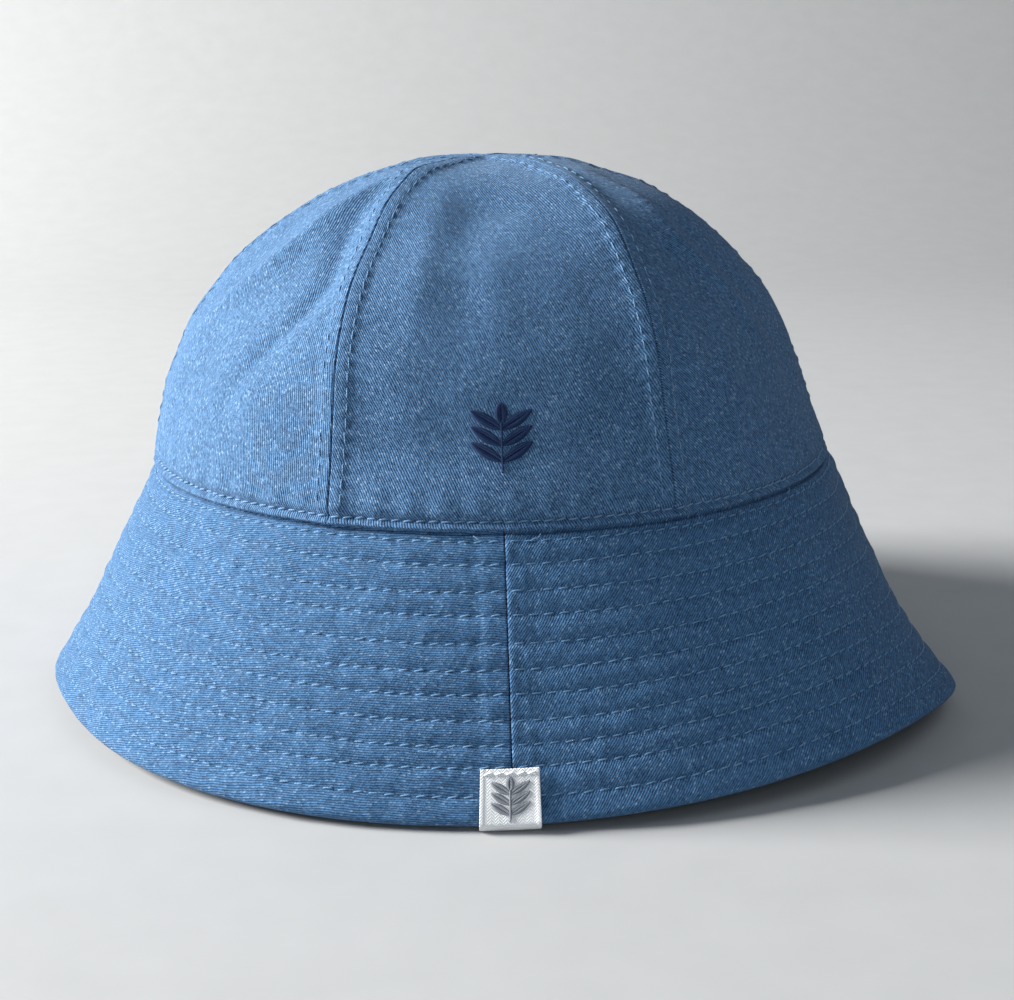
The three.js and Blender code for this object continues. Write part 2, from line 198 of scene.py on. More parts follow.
def fold_heights(points):
    total = np.zeros(points.shape[:-1])
    for path, width, height in FOLDS:
        knots = np.array(path, float)
        t = np.linspace(0, len(knots) - 1, 28)
        line = ellipse_point(
            np.interp(t, range(len(knots)), knots[:, 0]), np.interp(t, range(len(knots)), knots[:, 1]), 0.0
        )
        best = np.full(total.shape, 1e9)
        along = np.zeros(total.shape)
        for i, p in enumerate(line):
            distance = np.linalg.norm(points - p, axis=-1)
            nearer = distance < best
            best = np.where(nearer, distance, best)
            along = np.where(nearer, i / (len(line) - 1), along)
        total += height / np.cosh(best / (0.6 * width)) * (0.4 + 0.6 * np.sin(np.pi * along))
    return total


def panel_sag(angle, climb):
    """How far the panels hang in between the stiff seams, which stand out like ribs."""
    sag = np.zeros(np.broadcast(angle, climb).shape)
    for name in PANELS:
        low, span, width = panel_span(name, climb)
        across = (angle - low) % 360 / span
        bow = 4 * across * (1 - across) * np.minimum(1, width / 80)
        sag = np.where(across <= 1, PANEL_SAG[name] * bow, sag)
    return sag * smoothstep(CROWN_RISE * np.sin(np.radians(climb)), 2, 22)


def crown_shape(angle, climb):
    """How far the soft dome stands outside the plain one: shared by every layer of the crown."""
    points = ellipse_point(angle, climb, 0.0)
    rise = CROWN_RISE * np.sin(np.radians(climb))
    free = smoothstep(rise, 1, 24)
    settled = -np.interp(climb, *np.transpose(SETTLED))
    rightwards = np.sin(np.radians(angle))
    foot = (0.8 + 0.7 * rightwards) * rightwards**2 * bell(rise - 1.0, 6)
    shoulder = 2.2 * smoothstep(climb, 40, 58) * np.cos(np.radians(climb)) ** 0.3
    lean = np.clip(rightwards, 0, 1) * (shoulder - 0.7)
    dented = 1.4 * np.clip(-rightwards, 0, 1) * bell(climb - 42, 20)
    wander = 0.5 * waves(points, 52, 3) + 0.18 * waves(points, 17, 4)
    loose = lean + fold_heights(points) + wander - dented
    return settled + foot + free * loose - panel_sag(angle, climb)


def holes_along(run, pitch=STITCH_PITCH):
    return 0.5 + 0.5 * np.cos(2 * np.pi * run / pitch)


def seam_relief(distance, along, seed):
    """Across a pressed-open seam with a stitch row on each side of it."""
    groove = -0.45 * bell(distance, 0.22)
    allowance = 0.5 * (1 - smoothstep(distance, 2.6, 5.2))
    stitched = -0.10 * bell(distance - SEAM_STITCH_OFFSET, 0.6)
    ripple = np.sin(2 * np.pi * along / 4.6 + 1.3 * np.sin(along / 9 + seed) + seed)
    pucker = 0.17 * ripple * bell(distance - 4.0, 1.8)
    return groove + allowance + stitched + pucker


def base_relief(rise, run):
    """The rounded welt at the foot of the crown, with its stitch row."""
    undercut = -2.3 * (1 - smoothstep(rise, 0, 0.55))
    welt = 1.3 * bell(rise - 1.15, 0.85)
    stitched = -(0.25 + 0.15 * holes_along(run)) * bell(rise - BASE_STITCH_RISE, 0.5)
    above = 0.8 * smoothstep(rise, 2.3, 4.8) * bell(rise - 4.8, 9)
    ripple = np.sin(2 * np.pi * run / 9.1 + 1.7 * np.sin(run / 23))
    return undercut + welt + stitched + above + 0.2 * ripple * bell(rise - 5.5, 4.5)


def panel_surface(name, across, climb):
    """Points on the outside of a panel. `across` runs 0 to 1 from one seam to the next."""
    low, span, width = panel_span(name, climb)
    angle = low + across * span
    distance = np.minimum(across, 1 - across) * width
    rise = CROWN_RISE * np.sin(np.radians(climb))
    seam_seed = PANELS[name][0] + 2.0 * (across > 0.5)
    crossing = 0.6 * bell(distance, 4.5) * bell(rise, 4.0)
    relief = seam_relief(distance, climb * CLIMB_MM, seam_seed) * smoothstep(rise, 0.5, 3) + crossing
    relief = relief * np.minimum(1, width / 9)
    relief = relief + base_relief(rise, SEAM_RADIUS * np.radians(angle))
    return angle, crown_shape(angle, climb) + relief


# ---------------------------------------------------------------- the brim's shape
def edge_height(angle):
    """The soft brim rests on its edge, which lifts clear at the front right."""
    front_right = 6.6 * bell(turned(angle, 49), 22) - 1.4 * bell(turned(angle, 77), 9)
    front_left = 1.9 * bell(turned(angle, -52), 30) + 1.6 * bell(turned(angle, -78), 14)
    front = 1.1 * bell(turned(angle, 18), 22) - 0.6 * bell(turned(angle, -5), 12)
    return 1.4 + front + front_right + front_left


def brim_point(angle, slope, depth):
    """A point `slope` millimetres down the brim, `depth` millimetres below its outside."""
    a = np.radians(angle)
    slope = slope * (1 - 0.021 * bell(turned(angle, 40), 36) - 0.022 * bell(turned(angle, -84), 30))
    drop = SEAM_HEIGHT - edge_height(angle)
    lean_z = -drop / BRIM_SLANT
    lean_r = np.sqrt(1 - lean_z**2)
    rightwards = np.sin(a)
    on_the_right = np.clip(rightwards, 0, 1) ** 2
    on_the_left = np.clip(-rightwards, 0, 1) ** 2
    bulge = np.where(rightwards > 0, 1.5, 0.3) * np.abs(rightwards) ** 3 * bell(slope - 3, 12)
    bulge = bulge + on_the_right * (0.3 * bell(slope - 14, 12) - 0.9 * bell(slope - 54, 12))
    bulge = bulge - on_the_left * (2.0 * bell(slope - 12, 16) + 3.2 * bell(slope - 46, 22))
    flare = 3.4 * bell(turned(angle, 65), 12) - 2.2 * bell(turned(angle, 90), 14)
    flare = (flare - 3.8 * bell(turned(angle, -76), 30)) * np.clip(slope / BRIM_SLANT, 0, 1.1) ** 3
    r = SEAM_RADIUS + 0.3 + slope * lean_r + depth * lean_z + bulge + flare
    z = SEAM_HEIGHT + slope * lean_z - depth * lean_r
    return np.stack([r * np.sin(a), -r * np.cos(a), z], -1)


def row_slope(row, angle):
    """Where a stitch row lies: sewn by eye, so it wanders a little."""
    return BRIM_ROWS[row] + 0.22 * np.sin(np.radians(angle) * (3 + row % 3) + 1.9 * row)


def row_run(row, angle):
    """The length along a stitch row."""
    return np.radians(angle) * (SEAM_RADIUS + CONE_LEAN * BRIM_ROWS[row])


def quilting(angle, slope):
    """The padding between stitch rows, and the holes along them."""
    edges = [-1.5] + [row_slope(i, angle) for i in range(len(BRIM_ROWS))] + [BRIM_SLANT + 1.5]
    relief = -1.0 * bell(slope, 0.5) + np.zeros(np.broadcast(angle, slope).shape)
    for i, (low, high) in enumerate(zip(edges[:-1], edges[1:])):
        t = (slope - low) / (high - low)
        inside = (t >= 0) & (t < 1)
        height = 0.55 if i > 0 else -0.1
        relief += np.where(inside, height * np.abs(np.sin(np.pi * np.clip(t, 0, 1))) ** 0.7, 0)
    for i, line in enumerate(edges[1:-1]):
        run = row_run(i, angle)
        relief -= (0.06 + 0.14 * holes_along(run)) * bell(slope - line, 0.6)
        ripple = np.sin(2 * np.pi * run / 5.1 + 2.1 * np.sin(run / 13 + i) + 1.7 * i)
        relief += 0.04 * ripple * bell(slope - line, 2.0)
    return relief


def under_label(angle, slope):
    """1 where the label presses the front of the brim flat, falling to 0 beside it."""
    sideways = np.abs(np.radians(turned(angle, 0))) * LABEL_RADIUS
    return (1 - smoothstep(sideways, 6.5, 10)) * smoothstep(slope, LABEL_TOP_SLOPE - 2, LABEL_TOP_SLOPE + 1)


def brim_relief(angle, slope, seam_distance, raised):
    points = brim_point(angle, slope, 0.0)
    seam = 0.3 * (1 - smoothstep(seam_distance, 4.0, 7.0)) - 0.4 * bell(seam_distance, 0.22)
    wander = 0.3 * waves(points, 42, 11) + 0.13 * waves(points, 9, 12)
    puckers = 0.035 * waves(points * np.array([1, 1, 0.35]), 5.5, 13)
    lip = raised * 0.28 * bell(seam_distance - 0.9, 1.3)
    pinned = smoothstep(slope, -1, 3)
    relief = quilting(angle, slope) + seam + lip + pinned * (wander + puckers)
    return relief * (1 - 0.6 * under_label(angle, slope))


# ---------------------------------------------------------------- mesh making
def place_object(name, data):
    obj = bpy.data.objects.new(name, data)
    bpy.context.scene.collection.objects.link(obj)
    return obj


def make_object(name, points, faces, material, slot, uv, body="hat"):
    mesh = bpy.data.meshes.new(name)
    mesh.from_pydata((points * MM).tolist(), [], faces)
    mesh.polygons.foreach_set("use_smooth", [True] * len(mesh.polygons))
    layer = mesh.uv_layers.new(name="cloth")
    loops = np.zeros(len(mesh.loops), np.int32)
    mesh.loops.foreach_get("vertex_index", loops)
    layer.data.foreach_set("uv", uv[loops].astype(np.float32).ravel())
    mesh.materials.append(material)
    mesh.validate()
    obj = place_object(name, mesh)
    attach(obj, body)
    return obj


def shell(name, outer, inner, material, slot, grain, replaces, body="hat", flat=None):
    """A closed cloth piece from matching grids of points on its two faces. `flat` is its flat layout."""
    rows, columns = outer.shape[:2]
    count = rows * columns
    index = np.arange(count).reshape(rows, columns)
    quads = np.stack([index[:-1, :-1], index[:-1, 1:], index[1:, 1:], index[1:, :-1]], -1).reshape(-1, 4)
    rim = np.concatenate([index[0, :], index[1:, -1], index[-1, -2::-1], index[-2:0:-1, 0]])
    following = np.roll(rim, -1)
    sides = np.stack([following, rim, rim + count, following + count], -1)
    faces = np.concatenate([quads, quads[:, ::-1] + count, sides]).tolist()
    points = np.concatenate([outer.reshape(-1, 3), inner.reshape(-1, 3)])
    uv = turned_layout(lay_flat(outer) if flat is None else flat, grain)
    obj = make_object(name, points, faces, material, slot, np.concatenate([uv, uv]), body)
    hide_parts(*replaces)
    return obj


def lay_flat(grid):
    """Millimetres of cloth along the rows and up the columns of a grid of points."""
    across = np.linalg.norm(np.diff(grid, axis=1), axis=-1)
    up = np.linalg.norm(np.diff(grid, axis=0), axis=-1)
    x = np.concatenate([np.zeros((grid.shape[0], 1)), np.cumsum(across, 1)], 1)
    x -= x[:, -1:] / 2
    y = np.concatenate([np.zeros((1, grid.shape[1])), np.cumsum(up, 0)], 0)
    return np.stack([x, y], -1)


def turned_layout(flat, grain):
    """A flat layout turned by the grain's angle, which is where the weft runs."""
    x, y, a = flat[..., 0], flat[..., 1], math.radians(grain)
    layout = np.stack([x * math.cos(a) + y * math.sin(a), y * math.cos(a) - x * math.sin(a)], -1)
    return layout.reshape(-1, 2)


def flat_area(grid):
    """The area of a grid of points, in square millimetres."""
    a, b = grid[1:, 1:] - grid[:-1, :-1], grid[1:, :-1] - grid[:-1, 1:]
    return 0.5 * np.linalg.norm(np.cross(a, b), axis=-1).sum()


def declare_sheet(grid, flat=None):
    """Works out how big the cloth was cut, by default its longest row and column, and its area; the result
    is not kept or passed on.
    """
    if flat is None:
        width = np.linalg.norm(np.diff(grid, axis=1), axis=-1).sum(1).max()
        length = np.linalg.norm(np.diff(grid, axis=0), axis=-1).sum(0).max()
        flat = (width, length)
    area = min(flat_area(grid), 0.999 * flat[0] * flat[1])


def tubes(name, lines, radii, normals, material, slot, sides=6, body="hat"):
    """Many short threads as one piece: lines, radii and normals are [thread, point, ...]."""
    tangents = unit(np.gradient(lines, axis=1))
    binormals = unit(np.cross(tangents, normals))
    uprights = np.cross(binormals, tangents)
    turn = np.linspace(0, 2 * np.pi, sides, endpoint=False)
    ring = (
        lines[:, :, None]
        + radii[:, :, None, None] * np.cos(turn)[:, None] * binormals[:, :, None]
        + radii[:, :, None, None] * np.sin(turn)[:, None] * uprights[:, :, None]
    )
    threads, steps = lines.shape[:2]
    index = np.arange(threads * steps * sides).reshape(threads, steps, sides)
    after = np.roll(index, -1, axis=2)
    quads = np.stack([index[:, :-1], index[:, 1:], after[:, 1:], after[:, :-1]], -1).reshape(-1, 4)
    faces = quads.tolist() + index[:, 0].tolist() + index[:, -1, ::-1].tolist()
    length = np.cumsum(np.linalg.norm(np.diff(lines, axis=1, prepend=lines[:, :1]), axis=-1), 1)
    uv = np.stack(np.broadcast_arrays(length[:, :, None], turn / (2 * np.pi)), -1).reshape(-1, 2)
    return make_object(name, ring.reshape(-1, 3), faces, material, slot, uv, body)


def steps_along(points, normals, s):
    """Places and unit normals at the lengths `s` along a line on a surface."""
    length = np.concatenate([[0], np.cumsum(np.linalg.norm(np.diff(points, axis=0), axis=-1))])
    place = np.stack([np.interp(s, length, points[:, i]) for i in range(3)], -1)
    up = np.stack([np.interp(s, length, normals[:, i]) for i in range(3)], -1)
    return place, unit(up)


def stitch_step(points, pitch):
    """How many whole stitches fit along a line, and the step between them."""
    total = np.linalg.norm(np.diff(points, axis=0), axis=-1).sum()
    count = max(1, int(round(total / pitch)))
    return count, total / count


def stitches(points, normals, radius=THREAD, pitch=STITCH_PITCH, gap=0.9, slant=0.4, proud=1.1, seed=1):
    """Running stitches along a line on a surface: each one comes up, lies over and goes back down."""
    rng = np.random.default_rng(seed)
    count, step = stitch_step(points, pitch)
    t = np.linspace(0, 1, 7)
    s = (np.arange(count) * step)[:, None] + gap / 2 + t * (step - gap)
    centre, up = steps_along(points, normals, s)
    side = unit(np.cross(np.gradient(centre, axis=1), up))
    lift = radius * (proud - 2.9 * np.abs(2 * t - 1) ** 5) + 0.05 * rng.normal(size=(count, 1))
    skew = (0.5 - t) * (slant + 0.12 * rng.normal(size=(count, 1)))
    centre = centre + lift[:, :, None] * up + skew[:, :, None] * side
    radii = radius * (1 - 0.25 * np.abs(2 * t - 1) ** 3) * np.ones((count, 1))
    return centre, radii, up


def needle_holes(points, normals, pitch=STITCH_PITCH, size=0.27):
    """Small tubes sunk at the pits where the thread goes down between two stitches; their dark colour is
    painted shade of the pits.
    """
    count, step = stitch_step(points, pitch)
    s = (np.arange(count + 1) * step)[:, None] + np.array([-0.5, 0.0, 0.5]) * size
    centre, up = steps_along(points, normals, np.clip(s, 0, count * step))
    centre = centre - (size - 0.07) * up
    radii = size * np.array([0.55, 1.0, 0.55]) * np.ones((count + 1, 1))
    return centre, radii, up


def grid_normals(grid, outwards):
    """Unit normals along the middle line of a three-line strip of points."""
    along = np.gradient(grid[1], axis=0)
    across = grid[2] - grid[0]
    normals = unit(np.cross(along, across))
    return normals * np.sign(np.sum(normals * outwards, axis=-1, keepdims=True))


def joined(parts):
    return [np.concatenate([part[k] for part in parts]) for k in range(3)]


def sew(name, rows, material, slot, body="hat", **options):
    """One piece from several stitch rows, each given as (points, normals)."""
    parts = [stitches(p, n, seed=i + 1, **options) for i, (p, n) in enumerate(rows)]
    return tubes(name, *joined(parts), material, slot, body=body)


def pierce(name, rows, **options):
    """The needle holes of several stitch rows, as one piece, in a colour painted dark as the shade inside
    the holes.
    """
    parts = [needle_holes(p, n, **options) for p, n in rows]
    return tubes(name, *joined(parts), needle_hole_painted_shade, "denim", sides=8)


# ---------------------------------------------------------------- materials
class Graph:
    """A short way to write a node tree."""

    def __init__(self, name):
        self.material = bpy.data.materials.new(name)
        self.material.use_nodes = True
        self.tree = self.material.node_tree
        self.shader = self.tree.nodes["Principled BSDF"]

    def node(self, kind, inputs=(), **settings):
        made = self.tree.nodes.new(kind)
        for key, value in settings.items():
            setattr(made, key, value)
        for key, value in dict(inputs).items():
            self.put(made.inputs[key], value)
        return made

    def put(self, socket, value):
        if isinstance(value, bpy.types.NodeSocket):
            self.tree.links.new(value, socket)
        else:
            socket.default_value = value

    def math(self, operation, a, b=0.0, c=0.0):
        return self.node("ShaderNodeMath", {0: a, 1: b, 2: c}, operation=operation).outputs[0]

    def add(self, a, b):
        return self.math("ADD", a, b)

    def times(self, a, b):
        return self.math("MULTIPLY", a, b)

    def times_plus(self, a, b, c):
        return self.math("MULTIPLY_ADD", a, b, c)

    def wave(self, kind, turns):
        """A sine or cosine of whole turns, between 0 and 1."""
        return self.times_plus(self.math(kind, self.times(turns, 2 * math.pi)), 0.5, 0.5)

    def mix(self, factor, a, b):
        made = self.node("ShaderNodeMix", data_type="RGBA")
        self.put(made.inputs["Factor"], factor)
        self.put(made.inputs["A"], a)
        self.put(made.inputs["B"], b)
        return made.outputs["Result"]

    def combine(self, x, y):
        return self.node("ShaderNodeCombineXYZ", {"X": x, "Y": y}).outputs[0]

    def cloth(self):
        uv = self.node("ShaderNodeUVMap", uv_map="cloth").outputs[0]
        split = self.node("ShaderNodeSeparateXYZ", {0: uv})
        return uv, split.outputs["X"], split.outputs["Y"]

    def noise(self, vector, scale, detail=2.0, roughness=0.5):
        made = self.node("ShaderNodeTexNoise", {"Vector": vector, "Scale": scale, "Detail": detail})
        made.inputs["Roughness"].default_value = roughness
        return made.outputs["Fac"]

    def speck(self, vector):
        return self.node("ShaderNodeTexWhiteNoise", {"Vector": vector}).outputs["Value"]

    def spread(self, value, low, high, to_low=0.0, to_high=1.0):
        made = self.node("ShaderNodeMapRange", {"Value": value, "From Min": low, "From Max": high})
        made.inputs["To Min"].default_value = to_low
        made.inputs["To Max"].default_value = to_high
        return made.outputs["Result"]

    def bump(self, height, distance, strength=1.0, under=None):
        inputs = {"Height": height, "Distance": distance, "Strength": strength}
        if under is not None:
            inputs["Normal"] = under
        return self.node("ShaderNodeBump", inputs).outputs[0]

    def finish(self, color, roughness, normal, sheen=0.0, sheen_tint=(1, 1, 1, 1)):
        self.put(self.shader.inputs["Base Color"], color)
        self.put(self.shader.inputs["Roughness"], roughness)
        self.put(self.shader.inputs["Normal"], normal)
        self.shader.inputs["Sheen Weight"].default_value = sheen
        self.shader.inputs["Sheen Roughness"].default_value = 0.45
        self.shader.inputs["Sheen Tint"].default_value = sheen_tint
        self.shader.inputs["Specular IOR Level"].default_value = 0.25
        return self.material


def finish_weave(g, tone, dark, color, dullness, height, depth, sheen):
    """A weave whose colour runs from dark to light by `tone`, with its yarns `depth` millimetres high."""
    tint = g.mix(tone, (*dark, 1), (*color, 1))
    return g.finish(tint, dullness, g.bump(height, depth * MM, 0.8), sheen)


def twill(name, deep, mid, pale, rib_mm, depth=0.12, contrast=1.0):
    """Yarn-dyed twill: fine diagonal ribs of short floats, with uneven dye and pale flecks of cotton."""
    g = Graph(name)
    uv, u, v = g.cloth()
    slow = g.times(g.math("SUBTRACT", g.noise(uv, 0.09, 1.0), 0.5), 1.6)
    fine = g.times(g.math("SUBTRACT", g.noise(uv, 1.3, 1.0), 0.5), 0.22)
    along = g.times_plus(u, RIB_COS, g.times(v, RIB_SIN))
    across = g.math("SUBTRACT", g.times(u, RIB_SIN), g.times(v, RIB_COS))
    across = g.add(g.add(across, slow), fine)
    count = g.math("DIVIDE", across, rib_mm)
    rib = g.wave("COSINE", count)
    rib_number = g.math("ROUND", count)
    float_place = g.times_plus(rib_number, 0.37, g.math("DIVIDE", along, 0.85))
    float_number = g.math("FLOOR", float_place)
    float_shape = g.math("ABSOLUTE", g.math("SINE", g.times(float_place, math.pi)))
    level = g.speck(g.combine(rib_number, float_number))
    streak = g.noise(g.combine(g.times(along, 0.45), g.times(across, 1.9)), 1.0, 2.0)
    heather = g.noise(uv, 1.5, 3.0, 0.75)
    cloud = g.noise(uv, 0.05, 2.0)
    tone = g.times_plus(rib, 0.62 * contrast, 0.50 - 0.78 * contrast)
    tone = g.times_plus(level, 0.34 * contrast, tone)
    tone = g.times_plus(g.spread(streak, 0.3, 0.7), 0.26 * contrast, tone)
    tone = g.times_plus(g.spread(heather, 0.35, 0.65), 0.34 * contrast, tone)
    tone = g.times_plus(g.spread(cloud, 0.3, 0.7), 0.06, tone)
    color = g.mix(tone, (*deep, 1), (*mid, 1))
    fleck = g.times(g.spread(level, 0.88, 1.0, 0.0, 0.8), g.times(rib, float_shape))
    color = g.mix(fleck, color, (*pale, 1))
    wisp = g.combine(g.times(along, 1.1), g.times(across, 2.9))
    lint = g.spread(g.noise(wisp, 1.0, 2.0), 0.60, 0.76, 0.0, 0.55 * contrast)
    color = g.mix(lint, color, (*pale, 1))
    height = g.times_plus(rib, 0.8, g.times(float_shape, 0.2))
    fuzz = g.noise(uv, 4.0, 3.0, 0.7)
    normal = g.bump(height, depth * MM, 1.0)
    normal = g.bump(fuzz, 0.09 * MM, 0.8, normal)
    roughness = g.spread(height, 0, 1, 0.97, 0.85)
    return g.finish(color, roughness, normal, 0.08, (0.8, 0.9, 1, 1))


def plain_weave(name, color, dark, yarn_mm, roughness=0.85, sheen=0.1, depth=0.06):
    """A fine over-and-under weave."""
    g = Graph(name)
    uv, u, v = g.cloth()
    warp = g.math("SINE", g.times(u, math.pi / yarn_mm))
    weft = g.math("SINE", g.times(v, math.pi / yarn_mm))
    height = g.times_plus(g.times(warp, weft), 0.5, 0.5)
    grain = g.noise(uv, 1.7, 3.0, 0.6)
    tone = g.times_plus(height, 0.45, g.times(grain, 0.55))
    dullness = g.spread(height, 0, 1, min(1, roughness + 0.08), roughness)
    return finish_weave(g, tone, dark, color, dullness, height, depth, sheen)


def herringbone(name, color, dark, yarn_mm, turn_mm, roughness=0.7, depth=0.08):
    """Twill whose diagonals turn back at every `turn_mm`, as on woven tapes and labels."""
    g = Graph(name)
    uv, u, v = g.cloth()
    folded = g.math("PINGPONG", u, turn_mm)
    phase = g.math("DIVIDE", g.add(folded, v), yarn_mm)
    rib = g.wave("SINE", phase)
    grain = g.noise(uv, 2.1, 3.0, 0.6)
    tone = g.times_plus(rib, 0.6, g.times(grain, 0.4))
    dullness = g.spread(rib, 0, 1, min(1, roughness + 0.1), roughness)
    return finish_weave(g, tone, dark, color, dullness, rib, depth, 0.1)


def satin(name, color, dark):
    """A smooth ribbon with faint lengthwise yarns."""
    g = Graph(name)
    _, u, v = g.cloth()
    yarn = g.times_plus(g.math("SINE", g.times(u, 2 * math.pi / 0.3)), 0.5, 0.5)
    grain = g.noise(g.combine(g.times(u, 4.0), v), 0.8, 3.0)
    tone = g.times_plus(yarn, 0.35, g.times(grain, 0.65))
    tint = g.mix(tone, (*dark, 1), (*color, 1))
    dullness = g.spread(grain, 0.2, 0.8, 0.38, 0.55)
    return g.finish(tint, dullness, g.bump(yarn, 0.03 * MM, 0.6), 0.15)


def thread(name, color, dark):
    """Two-ply sewing thread: the twist shows as slanting bands."""
    g = Graph(name)
    uv, along, around = g.cloth()
    phase = g.times_plus(along, 1.5, g.times(around, 2.0))
    ply = g.wave("SINE", phase)
    grain = g.noise(uv, 2.5, 2.0)
    tone = g.times_plus(ply, 0.6, g.times(grain, 0.4))
    tint = g.mix(tone, (*dark, 1), (*color, 1))
    dullness = g.spread(ply, 0, 1, 0.80, 0.62)
    return g.finish(tint, dullness, g.bump(ply, 0.06 * MM, 0.9), 0.08)


RIB_ANGLE = math.radians(50)    # of the twill from the weft
RIB_COS, RIB_SIN = math.cos(RIB_ANGLE), math.sin(RIB_ANGLE)

# The crown's twill and the brim's are one cloth in two tones: the crown's colours are painted lighter
# (painted light) and the brim's painted darker and less red (painted shade).
denim = twill(
    "denim", (0.009, 0.032, 0.086), (0.102, 0.236, 0.438), (0.33, 0.46, 0.61), 0.61, contrast=1.25)
brim_denim_shaded_copy = twill("brim_denim_shaded_copy", (0.006, 0.029, 0.082), (0.084, 0.212, 0.408), (0.28, 0.42, 0.58), 0.57)
under_denim = twill("under_denim", (0.022, 0.056, 0.119), (0.079, 0.165, 0.287), (0.25, 0.33, 0.41), 0.57)
band_cotton = herringbone("band_cotton", (0.026, 0.041, 0.079), (0.012, 0.020, 0.041), 0.7, 3.0, 0.8)
tape_cotton = herringbone("tape_cotton", (0.038, 0.060, 0.112), (0.017, 0.029, 0.060), 0.6, 3.0, 0.82)
canvas = plain_weave("canvas", (0.72, 0.70, 0.64), (0.48, 0.46, 0.40), 0.35)
woven_label = herringbone("woven_label", (0.96, 0.97, 0.98), (0.68, 0.70, 0.73), 0.70, 0.9, 0.62, 0.12)
satin_ribbon = satin("satin_ribbon", (0.86, 0.86, 0.84), (0.70, 0.70, 0.68))
paper = plain_weave("paper", (0.82, 0.82, 0.79), (0.66, 0.66, 0.62), 0.9, 0.95, 0.0, 0.03)
pale_thread = thread("pale_thread", (0.185, 0.350, 0.545), (0.100, 0.210, 0.370))
denim_thread = thread("denim_thread", (0.19, 0.34, 0.53), (0.10, 0.21, 0.36))
navy_thread = thread("navy_thread", (0.006, 0.034, 0.125), (0.003, 0.014, 0.055))
grey_thread = thread("grey_thread", (0.33, 0.35, 0.39), (0.17, 0.185, 0.21))
white_thread = thread("white_thread", (0.90, 0.92, 0.94), (0.65, 0.68, 0.72))
# Painted shade: a dark colour for the needle-hole tubes, standing in for the shade inside the holes.
needle_hole_painted_shade = thread("needle_hole_painted_shade", (0.023, 0.056, 0.119), (0.012, 0.030, 0.066))


# ---------------------------------------------------------------- camera, light and floor
def look(obj, position, target, roll=0.0):
    direction = Vector(target) - Vector(position)
    obj.matrix_world = (
        Matrix.Translation(position) @ direction.to_track_quat("-Z", "Y").to_matrix().to_4x4()
        @ Matrix.Rotation(math.radians(roll), 4, "Z")
    )


def add_camera():
    """Half a metre in front of the hat, a little to its left and above it."""
    distance, height, pitch, turn, sideways, roll = 0.4872, 0.1730, 14.70, 2.7, 0.0052, -0.59
    data = bpy.data.cameras.new("camera")
    data.lens = 60.78
    data.sensor_width = 36.0
    camera = place_object("camera", data)
    around = Matrix.Rotation(math.radians(-turn), 4, "Z")
    position = around @ Vector((sideways, -distance, height))
    target = around @ Vector((sideways, 0.0, height - distance * math.tan(math.radians(pitch))))
    look(camera, position, target, roll)
    bpy.context.scene.camera = camera


def add_light(name, position, target, size, power, color):
    data = bpy.data.lights.new(name, "AREA")
    data.shape = "DISK"
    data.size = size
    data.energy = power
    data.color = color
    look(place_object(name, data), position, target)


def add_stage():
    """A pale floor that curves up into a pale wall."""
    half, back, bend, top = 3.0, 1.6, 0.8, 2.4
    profile = [(-half, 0.0), (back - bend, 0.0)]
    for a in np.linspace(0, math.pi / 2, 17)[1:]:
        profile.append((back - bend + bend * math.sin(a), bend - bend * math.cos(a)))
    profile.append((back, top))
    points = [(x, y, z) for x in (-half, half) for y, z in profile]
    n = len(profile)
    faces = [(i, i + n, i + n + 1, i + 1) for i in range(n - 1)]
    mesh = bpy.data.meshes.new("floor")
    mesh.from_pydata(points, [], faces)
    mesh.polygons.foreach_set("use_smooth", [True] * len(mesh.polygons))
    g = Graph("pale_floor")
    place = g.node("ShaderNodeTexCoord").outputs["Object"]
    grain = g.noise(place, 60.0, 3.0)
    mesh.materials.append(g.finish(
        g.mix(grain, (0.40, 0.405, 0.41, 1), (0.44, 0.445, 0.45, 1)), 0.8, g.bump(grain, 0.0001, 0.3)))
    place_object("floor", mesh)


def add_world():
    world = bpy.data.worlds.new("studio")
    world.use_nodes = True
    sky = world.node_tree.nodes["Background"]
    sky.inputs["Color"].default_value = (0.74, 0.87, 1.0, 1)
    sky.inputs["Strength"].default_value = 0.13
    bpy.context.scene.world = world


add_camera()
add_stage()
add_world()
add_light("key", (-1.98, 0.20, 1.01), (0, 0, 0.08), 1.05, 156, (1.0, 0.99, 0.97))
add_light("top", (0.62, -0.22, 1.12), (0, 0, 0.10), 0.9, 2.2, (0.86, 0.93, 1.0))
add_light("fill", (-0.10, -1.20, 0.40), (0, 0, 0.10), 0.9, 2.6, (0.84, 0.93, 1.0))
bpy.context.scene.view_settings.view_transform = "Standard"


# ---------------------------------------------------------------- crown panels
def spaced(count, crowd):
    """0 to 1, with the steps drawn towards both ends by `crowd`."""
    t = np.linspace(0, 1, count)
    return (1 - crowd) * t + crowd * (0.5 - 0.5 * np.cos(np.pi * t))


TOP_CLIMB = 89.8
CROWN_CLIMBS = np.concatenate([
    climb_at(np.linspace(0.1, 6.5, 42)),
    np.linspace(climb_at(6.5), TOP_CLIMB, 132)[1:],
])
PANEL_GRAIN = {
    "front": 67,
    "front_right": 75,
    "back_right": 95,
    "back": 70,
    "back_left": 45,
    "front_left": 56,
}


def crown_panel(name):
    across, climb = np.meshgrid(spaced(110, 0.75), CROWN_CLIMBS)
    across = 0.0008 + 0.9984 * across
    angle, out = panel_surface(name, across, climb)
    outer = ellipse_point(angle, climb, out)
    inner = ellipse_point(angle, climb, crown_shape(angle, climb) - CLOTH - LAYER_ROOM)
    _, _, width = panel_span(name, climb)
    flat = np.stack([(across - 0.5) * width, climb * CLIMB_MM], -1)
    node = "crown_panel_" + name
    obj = shell(node + "_cloth", outer, inner, denim, "denim", PANEL_GRAIN[name], [node], flat=flat)
    declare_sheet(outer)


